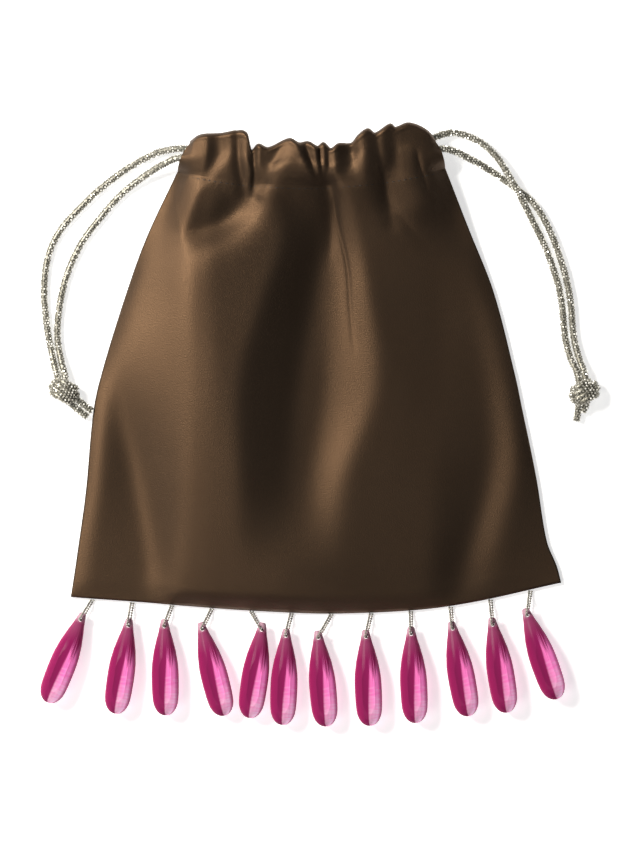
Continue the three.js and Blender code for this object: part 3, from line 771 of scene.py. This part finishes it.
def loft(x, y, up):
    """Height of the front between its crests and valleys, softened where they turn."""
    creases = [{"fall": -CREASE_LEVELS, **table("x z", places)} for places in CREASES.values()]
    seam = SEAM_Z + seam_lift(up)
    z = np.zeros(x.shape)
    for r in range(len(x)):
        left, right = x[r, 0], x[r, -1]
        fall = -y[r].mean()
        places = [glide(c, "fall", fall, "x") for c in creases]
        places = np.clip(places, left + SEAM_ROOM, right - SEAM_ROOM)
        heights = [glide(c, "fall", fall, "z") for c in creases]
        z[r] = np.interp(x[r], [left, *places, right], [seam[r, 0], *heights, seam[r, 0]])
    for _ in range(CREASE_SOFTNESS):
        z[:, 1:-1] = (z[:, :-2] + 2 * z[:, 1:-1] + z[:, 2:]) / 4
    for _ in range(CREASE_SOFTNESS // 3):
        z[1:-1] = (z[:-2] + 2 * z[1:-1] + z[2:]) / 4
    bottom = np.sin(np.pi / 2 * clamp((y - y[:1]) / LOFT_BOTTOM))
    return mix(seam, z, bottom)


def front_body(columns, up):
    x, y = in_plan(columns, up)
    below = stitch_line(columns["share"]) - y
    groove = GROOVE["deep"] * np.exp(-(below / GROOVE["half"]) ** 2)
    z = loft(x, y, up) + ease(up / FOLDS_FADE["bottom"]) * (front_folds(columns, x, y) - groove)
    return np.stack([x, y, z], axis=-1)


def back_body(columns, up):
    x, y = in_plan(columns, up)
    share = columns["share"]
    hem = mix(*BACK_CASING["hem"], arch(share))
    seam_top = BACK_Z + SEAM_LIFT["rise"]
    stitch_z = mix(seam_top, hem - HEM_STEP - columns["rise"], arch(share))
    z = mix(BACK_Z, stitch_z, seam_lift(up) / SEAM_LIFT["rise"])
    return np.stack([x, y, z], axis=-1)


def casing_rows(columns, stitch, casing, side, folds):
    """The casing's rows up its outer wall, over the top fold and down the hem inside it."""
    middle = arch(columns["share"])
    hem = mix(*casing["hem"], middle)
    full = hem + side * (HEM_STEP + mix(*casing["tunnel"], middle) + columns["rise"])
    top = columns["top"] - TOP_FOLD * CLOTH
    flat = stitch[:, 2] - folds(columns, stitch[:, 0], stitch[:, 1])

    def plan(w):
        return columns["x"] + columns["lean"] * w ** 2, mix(stitch[:, 1], top, w)

    def outer_z(w):
        swell = math.sin(math.pi * min(w, CASING_SWELL["top"])) ** CASING_SWELL["power"]
        return mix(flat, full, swell) + folds(columns, *plan(w))

    def outer(w):
        return np.stack([*plan(w), outer_z(w)], axis=-1)

    def inner(w, gap):
        x, y = plan(w)
        z = side * np.minimum(side * hem, side * outer_z(w) - gap)
        return np.stack([x, y, z], axis=-1)

    hem_top, hem_middle, hem_end = HEM_ROWS
    brink = (outer(1) + inner(1, HEM_ROOM)) / 2 + (0, CLOTH, 0)
    knots = [
        stitch,
        *[outer(w) for w in CASING_ROWS],
        brink,
        inner(hem_top, HEM_ROOM),
        inner(hem_middle, HEM_ROOM),
        inner(hem_end, HEM_STEP),
    ]
    return smooth_line(knots, CASING_PARTS)[1:]


def panel(name, columns, rows, body_at, casing, side, folds):
    up = np.linspace(0, 1, rows)[:, None]
    body = body_at(columns, up)
    grid = np.concatenate([body, casing_rows(columns, body[-1], casing, side, folds)])
    count = grid.shape[:2]
    piece = mesh_piece(name, grid.reshape(-1, 3), grid_faces(*count), [SATIN])
    steps = np.linalg.norm(np.diff(grid, axis=0), axis=-1).mean(axis=1)
    climb = np.concatenate([[0], np.cumsum(steps)])
    width = SIDES["right"][0] - SIDES["left"][0]
    flat = np.stack(np.meshgrid(columns["share"] * width, climb), axis=-1).reshape(-1, 2)
    loops = np.zeros(len(piece.data.loops), np.int32)
    piece.data.loops.foreach_get("vertex_index", loops)
    layer = piece.data.uv_layers.new(name="cloth")
    layer.data.foreach_set("uv", flat[loops].astype(np.float32).ravel())
    apply_modifier(piece, "SOLIDIFY", {"thickness": CLOTH * MM, "offset": 0})
    shade_smooth(piece)
    return piece, body


# Small things that repeat
def arrays_of(piece):
    """The points and faces of a modelled piece, which is then removed."""
    mesh = piece.data
    points = np.array([v.co for v in mesh.vertices]) / MM
    faces = [tuple(p.vertices) for p in mesh.polygons]
    bpy.data.objects.remove(piece)
    return points, faces


def select_facing(piece, direction):
    """Select the faces that face a direction, and stay in edit mode."""
    bpy.ops.object.mode_set(mode="EDIT")
    bpy.ops.mesh.select_mode(type="FACE")
    bpy.ops.mesh.select_all(action="DESELECT")
    bpy.ops.object.mode_set(mode="OBJECT")
    for face in piece.data.polygons:
        face.select = face.normal.dot(Vector(direction)) > FACING
    bpy.ops.object.mode_set(mode="EDIT")


def model_stone():
    """A small cut stone: a girdle, a ring of crown facets and a table."""
    deselect()
    bpy.ops.mesh.primitive_cylinder_add(
        vertices=STONE["sides"], radius=STONE["wide"] / 2 * MM, depth=STONE["high"] * MM,
        location=(0, 0, (STONE["high"] / 2 - STONE["sunk"]) * MM))
    piece = bpy.context.active_object
    bpy.ops.object.transform_apply(location=True, rotation=True, scale=True)
    select_facing(piece, (0, 0, 1))
    bpy.ops.transform.resize(value=(STONE["table"], STONE["table"], 1),
                             center_override=(0, 0, (STONE["high"] - STONE["sunk"]) * MM))
    bpy.ops.object.mode_set(mode="OBJECT")
    return arrays_of(piece)


def model_bead():
    """A seed bead: a short ring with its hole along Z."""
    deselect()
    bpy.ops.mesh.primitive_torus_add(
        major_segments=BEAD_SHAPE["around"], major_radius=BEAD * BEAD_SHAPE["ring"] * MM,
        minor_segments=BEAD_SHAPE["sides"], minor_radius=BEAD * BEAD_SHAPE["round"] * MM)
    piece = bpy.context.active_object
    bpy.ops.object.mode_set(mode="EDIT")
    bpy.ops.mesh.select_all(action="SELECT")
    bpy.ops.transform.resize(value=(1, 1, BEAD_SHAPE["tall"]), center_override=(0, 0, 0))
    bpy.ops.object.mode_set(mode="OBJECT")
    return arrays_of(piece)


def model_stitch():
    """One stitch: a short rounded length of thread along X."""
    deselect()
    bpy.ops.mesh.primitive_cylinder_add(
        vertices=STITCH_SHAPE["sides"], radius=STITCH_SHAPE["radius"] * MM,
        depth=STITCH_SHAPE["straight"] * MM, rotation=(0, math.pi / 2, 0))
    piece = bpy.context.active_object
    bpy.ops.object.transform_apply(location=True, rotation=True, scale=True)
    taper = STITCH_SHAPE["taper"]
    half = STITCH_SHAPE["straight"] / 2 + STITCH_SHAPE["end"]
    for side in (-1, 1):
        select_facing(piece, (side, 0, 0))
        longer = (side * STITCH_SHAPE["end"] * MM, 0, 0)
        bpy.ops.mesh.extrude_region_move(TRANSFORM_OT_translate={"value": longer})
        bpy.ops.transform.resize(value=(1, taper, taper), center_override=(side * half * MM, 0, 0))
        bpy.ops.transform.translate(value=(0, 0, -STITCH_SHAPE["dive"] * MM))
        bpy.ops.object.mode_set(mode="OBJECT")
    return arrays_of(piece)


def copies(shape, places, along, normal):
    """Copies of a shape at places, its X axis along one direction and its Z axis along another."""
    points, faces = shape
    z = unit(normal)
    y = unit(np.cross(z, along))
    turned = np.stack([np.cross(y, z), y, z], axis=-1)
    placed = np.einsum("nij,pj->npi", turned, points) + places[:, None]
    count = len(points)
    all_faces = [tuple(i + n * count for i in face) for n in range(len(places)) for face in faces]
    return placed.reshape(-1, 3), all_faces


def store(piece, name, values):
    layer = piece.data.attributes.new(name, "FLOAT", "POINT")
    layer.data.foreach_set("value", np.asarray(values, np.float32))


def line_frame(line, up=(0, 0, 1)):
    """Directions along a line, to its side and above it."""
    along = unit(np.gradient(line, axis=0))
    side = unit(np.cross(along, up))
    return along, side, np.cross(side, along)


def core_tube(line, radius, up=(0, 0, 1)):
    """A closed tube around a line."""
    _, side, above = line_frame(line, up)
    turn = 2 * np.pi * np.arange(CORE["sides"]) / CORE["sides"]
    ring = np.cos(turn)[None, :, None] * side[:, None] + np.sin(turn)[None, :, None] * above[:, None]
    points = (line[:, None] + radius * ring).reshape(-1, 3)
    n = CORE["sides"]
    faces = [(r * n + c, r * n + (c + 1) % n, (r + 1) * n + (c + 1) % n, (r + 1) * n + c)
             for r in range(len(line) - 1) for c in range(n)]
    last = (len(line) - 1) * n
    return points, [*faces, tuple(range(n))[::-1], tuple(range(last, last + n))]


def stones_on_tube(line, draw, up=(0, 0, 1)):
    """Places, directions and normals of the stones around a tube, in staggered rows."""
    along, side, above = line_frame(line, up)
    pitch = np.pi * 2 * CORE["radius"] / STONES_AROUND
    rows = even_line(line, pitch * STONE_ROW)
    run = np.linspace(0, 1, len(line))
    at = np.linspace(0, 1, len(rows))
    along, side, above = (np.stack([np.interp(at, run, v[:, n]) for n in range(3)], axis=1)
                          for v in (along, side, above))
    turn = np.arange(STONES_AROUND)[None] + 0.5 * (np.arange(len(rows)) % 2)[:, None]
    turn = 2 * np.pi * turn / STONES_AROUND
    out = np.cos(turn)[..., None] * side[:, None] + np.sin(turn)[..., None] * above[:, None]
    places = (rows[:, None] + CORE["radius"] * out).reshape(-1, 3)
    heading = np.repeat(along, STONES_AROUND, axis=0)
    return places, heading, tilted(out.reshape(-1, 3), draw)


def tilted(normals, draw):
    """The normals, each turned a few degrees at random."""
    return unit(normals + math.tan(math.radians(STONE["tilt"])) * draw.normal(size=normals.shape))


def strung_piece(name, tubes, stones, stone, finishes, draw):
    """Core tubes with stones or beads on them, as one piece."""
    points, faces = [], []
    count = 0
    for tube_points, tube_faces in tubes:
        faces += [tuple(i + count for i in f) for f in tube_faces]
        points.append(tube_points)
        count += len(tube_points)
    core_faces = len(faces)
    stone_points, stone_faces = copies(stone, *stones)
    faces += [tuple(i + count for i in f) for f in stone_faces]
    piece = mesh_piece(name, np.vstack([*points, stone_points]), faces, finishes)
    index = np.zeros(len(faces), np.int32)
    index[core_faces:] = 1
    piece.data.polygons.foreach_set("material_index", index)
    smooth = np.arange(len(faces)) < core_faces
    piece.data.polygons.foreach_set("use_smooth", smooth)
    glint = np.repeat(draw.random(len(stones[0])), len(stone[0]))
    store(piece, "glint", np.concatenate([np.zeros(count), glint]))
    return piece


def knot_tubes(knot):
    """The lines of a knot, each with its own up: its two strands, and the wraps around them."""
    lines = [(smooth_line(strand, KNOT_PARTS["strand"]), (0, 0, 1)) for strand in knot["strands"]]
    yaw = math.radians(knot["turn"])
    wide = np.array([math.cos(yaw), math.sin(yaw), 0])
    aside = np.array([-math.sin(yaw), math.cos(yaw), 0])
    turn = np.linspace(0, 2 * np.pi, KNOT_PARTS["wrap"] + 1)[:, None]
    for offset, half in KNOT_WRAPS:
        ring = half * np.cos(turn) * wide + KNOT_HIGH * np.sin(turn) * np.array([0, 0, 1])
        lines.append((np.array(knot["middle"]) + offset * aside + ring, aside))
    return lines


def add_cords(stone):
    draw = np.random.default_rng(STONE_SEED)
    knots = {}
    for name, knot in KNOTS.items():
        lines = knot_tubes(knot)
        stones = [stones_on_tube(line, draw, up) for line, up in lines]
        joined = [np.vstack(group) for group in zip(*stones)]
        tubes = [core_tube(line, CORE["radius"], up) for line, up in lines]
        knots[name] = strung_piece(f"crystal_{name}", tubes, joined, stone, [NET, CRYSTAL], draw)
        settle(knots[name], "crystal_cord", name)
    for name, route in CORDS.items():
        line = even_line(route, CORE["step"])
        stones = stones_on_tube(line, draw)
        tubes = [core_tube(line, CORE["radius"])]
        piece = strung_piece(f"crystal_{name}", tubes, stones, stone, [NET, CRYSTAL], draw)
        settle(piece, "crystal_cord", name)
        line_length(line) * MM


# Drops and their loops
def model_drop():
    """One cut drop, its tip at the origin and its length along -Y, drilled near the tip."""
    deselect()
    rings = list(zip(DROP_OUTLINE["down"] * MM, DROP_OUTLINE["half"] * MM))
    down, half = rings[0]
    bpy.ops.mesh.primitive_circle_add(vertices=DROP_FACETS, radius=half, fill_type="NGON",
                                      location=(0, -down, 0), rotation=(math.pi / 2, 0, 0))
    drop = bpy.context.active_object
    bpy.ops.object.transform_apply(location=True, rotation=True, scale=True)
    bpy.ops.object.mode_set(mode="EDIT")
    bpy.ops.mesh.select_all(action="SELECT")
    bpy.ops.transform.rotate(value=math.pi / DROP_FACETS, orient_axis="Y", center_override=(0, -down, 0))
    for next_down, next_half in rings[1:]:
        bpy.ops.mesh.extrude_region_move(TRANSFORM_OT_translate={"value": (0, down - next_down, 0)})
        size = next_half / half
        bpy.ops.transform.resize(value=(size, 1, size), center_override=(0, -next_down, 0))
        down, half = next_down, next_half
    bpy.ops.mesh.select_all(action="SELECT")
    bpy.ops.mesh.remove_doubles(threshold=TINY)
    bpy.ops.mesh.normals_make_consistent(inside=False)
    bpy.ops.mesh.bisect(plane_co=(0, 0, DROP_TABLE * DROP_WIDTH / 2 * MM), plane_no=(0, 0, 1),
                        use_fill=True, clear_outer=True)
    bpy.ops.object.mode_set(mode="OBJECT")
    drill_drop(drop)
    apply_modifier(drop, "BEVEL", {
        "width": DROP_BEVEL["width"] * MM,
        "segments": 1,
        "limit_method": "ANGLE",
        "angle_limit": math.radians(DROP_BEVEL["angle"]),
    })
    make_active(drop)
    bpy.ops.object.shade_smooth_by_angle(angle=math.radians(DROP_SMOOTH))
    return drop


def drill_drop(drop):
    deselect()
    bpy.ops.mesh.primitive_cylinder_add(vertices=HOLE["sides"], radius=HOLE["radius"] * MM,
                                        depth=2 * DROP_WIDTH * MM, location=(0, -HOLE["down"] * MM, 0))
    drill = bpy.context.active_object
    apply_modifier(drop, "BOOLEAN", {"operation": "DIFFERENCE", "object": drill, "solver": "EXACT"})
    bpy.data.objects.remove(drill)


def sewn_at(n):
    x = FIRST_LOOP_X + n * LOOP_PITCH
    left, right = SIDES["left"][0], SIDES["right"][0]
    y = float(glide(BOTTOM, "across", (x - left) / (right - left), "y"))
    return np.array([x, y, (BACK_Z + SEAM_Z) / 2])


def drop_place(n, points):
    """Where a drop lies: on its belly, with its tip on its loop."""
    belly = DROP_WIDTH / 2 * math.cos(math.radians(DROP_BELLY["angle"]))
    pitch = math.asin((belly - TIP_Z) / (DROP_BELLY["share"] * DROP_LENGTH))
    swing = Matrix.Rotation(math.radians(DROPS["swing"][n]), 4, "Z")
    turned = np.array((swing @ Matrix.Rotation(-pitch, 4, "X")).to_3x3())
    tip = sewn_at(n) + (DROPS["aside"][n], -DROPS["down"][n], 0)
    tip[2] = -(points @ turned.T)[:, 2].min()
    return turned, tip


def loop_line(turned, tip, n):
    """A bead loop's way: from the seam over the drop's tip, through its hole and back under it."""
    clear = TIP_HALF + BEAD / 2
    hole = -HOLE["down"]

    def in_drop(side, past, high):
        return turned @ (side * STRAND_ASIDE, past, high) + tip

    def strand(side):
        seam = sewn_at(n) + (-side * BEAD / 2, -LOOP_BELOW_SEAM - BEAD / 4, 0)
        inside = in_drop(-side, hole + LOOP_ROOM, side * (clear + LOOP_ROOM))
        over = mix(seam, inside, LOOP_OVER["share"])
        over[2] = tip[2] + side * LOOP_OVER["high"]
        return [seam, (seam + over) / 2, over, inside, in_drop(0, hole, side * clear / 2)]

    return [*strand(1), *strand(-1)[::-1]]


def add_drops(bead):
    draw = np.random.default_rng(BEAD_SEED)
    master = model_drop()
    points = np.array([v.co for v in master.data.vertices]) / MM
    half = np.interp(-points[:, 1], DROP_OUTLINE["down"], DROP_OUTLINE["half"])
    store(master, "along", -points[:, 1] / DROP_LENGTH)
    store(master, "across", np.clip(points[:, 0] / half, -1, 1))
    master.data.materials.append(DROP)
    for n in range(len(DROPS["swing"])):
        turned, tip = drop_place(n, points)
        mesh = master.data.copy()
        mesh.transform(Matrix.Translation(Vector(tip) * MM) @ Matrix(turned.tolist()).to_4x4())
        piece = bpy.data.objects.new(f"crystal_drop_{n + 1:02d}", mesh)
        bpy.context.scene.collection.objects.link(piece)
        settle(piece, "magenta_drop", f"drop_{n + 1:02d}")
        line = even_line(loop_line(turned, tip, n), BEAD * BEAD_STEP)
        heading, side, _ = line_frame(line)
        tubes = [core_tube(line, BEAD_THREAD)]
        string = strung_piece(f"bead_string_{n + 1:02d}", tubes, (line, side, heading), bead, [NET, BEADS],
                              draw)
        shade_smooth(string)
        settle(string, "silver_beads", f"bead_loop_{n + 1:02d}")
    bpy.data.objects.remove(master)


def add_stitches(stitch, body):
    """A row of stitches along the casing, on the front panel's surface."""
    row = body[-2]
    line = even_line(row + (0, 0, STITCH_LIFT * CLOTH), STITCH_STEP)
    line = line[STITCHES_LEFT_OUT:-STITCHES_LEFT_OUT]
    along, _, above = line_frame(line)
    points, faces = copies(stitch, line, along, above)
    piece = mesh_piece("casing_stitches", points, faces, [THREAD])
    shade_smooth(piece)
    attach(piece, "root")


# Scene
def add_camera():
    deselect()
    wide, high = PICTURE
    x = (wide / 2 - ORIGIN_PIXEL[0]) * PIXEL
    y = (ORIGIN_PIXEL[1] - high / 2) * PIXEL
    bpy.ops.object.camera_add(location=(x * MM, y * MM, CAMERA_HEIGHT * MM), rotation=(0, 0, 0))
    camera = bpy.context.active_object
    camera.data.sensor_width = SENSOR
    camera.data.lens = SENSOR * (CAMERA_HEIGHT - SHARP_HEIGHT) / (high * PIXEL)
    camera.data.clip_end = 2 * CAMERA_HEIGHT * MM
    bpy.context.scene.camera = camera


def add_light(name, place, size, power, colour):
    deselect()
    spot = Vector(place) * MM
    turn = (-spot).to_track_quat("-Z", "Y").to_euler()
    bpy.ops.object.light_add(type="AREA", location=spot, rotation=turn)
    light = bpy.context.active_object
    light.name = name
    light.data.size = size * MM
    light.data.energy = power
    light.data.color = colour


def add_surroundings():
    add_light("key_light", **KEY)
    add_light("fill_light", **FILL)
    world = bpy.data.worlds.new("studio")
    world.use_nodes = True
    world.node_tree.nodes["Background"].inputs["Color"].default_value = SKY
    bpy.context.scene.world = world
    bpy.context.scene.view_settings.view_transform = "Standard"
    deselect()
    bpy.ops.mesh.primitive_plane_add(size=FLOOR_SIZE * MM, location=(0, 0, -FLOOR_DROP * MM))
    floor = bpy.context.active_object
    floor.name = "floor"
    floor.data.materials.append(floor_finish())


add_camera()
NET = net_finish()
CRYSTAL = crystal_finish()
BEADS = bead_finish()
DROP = drop_finish()
SATIN = satin_finish()
THREAD = thread_finish()
add_cords(model_stone())

front, front_rows = panel("satin_front", front_columns(), FRONT_GRID["rows"], front_body, FRONT_CASING, 1,
                          front_folds)
settle(front, "satin", "front_panel")
back, _ = panel("satin_back", back_columns(), BACK_GRID["rows"], back_body, BACK_CASING, -1, no_folds)
settle(back, "satin", "back_panel")
add_stitches(model_stitch(), front_rows)
add_drops(model_bead())
add_surroundings()
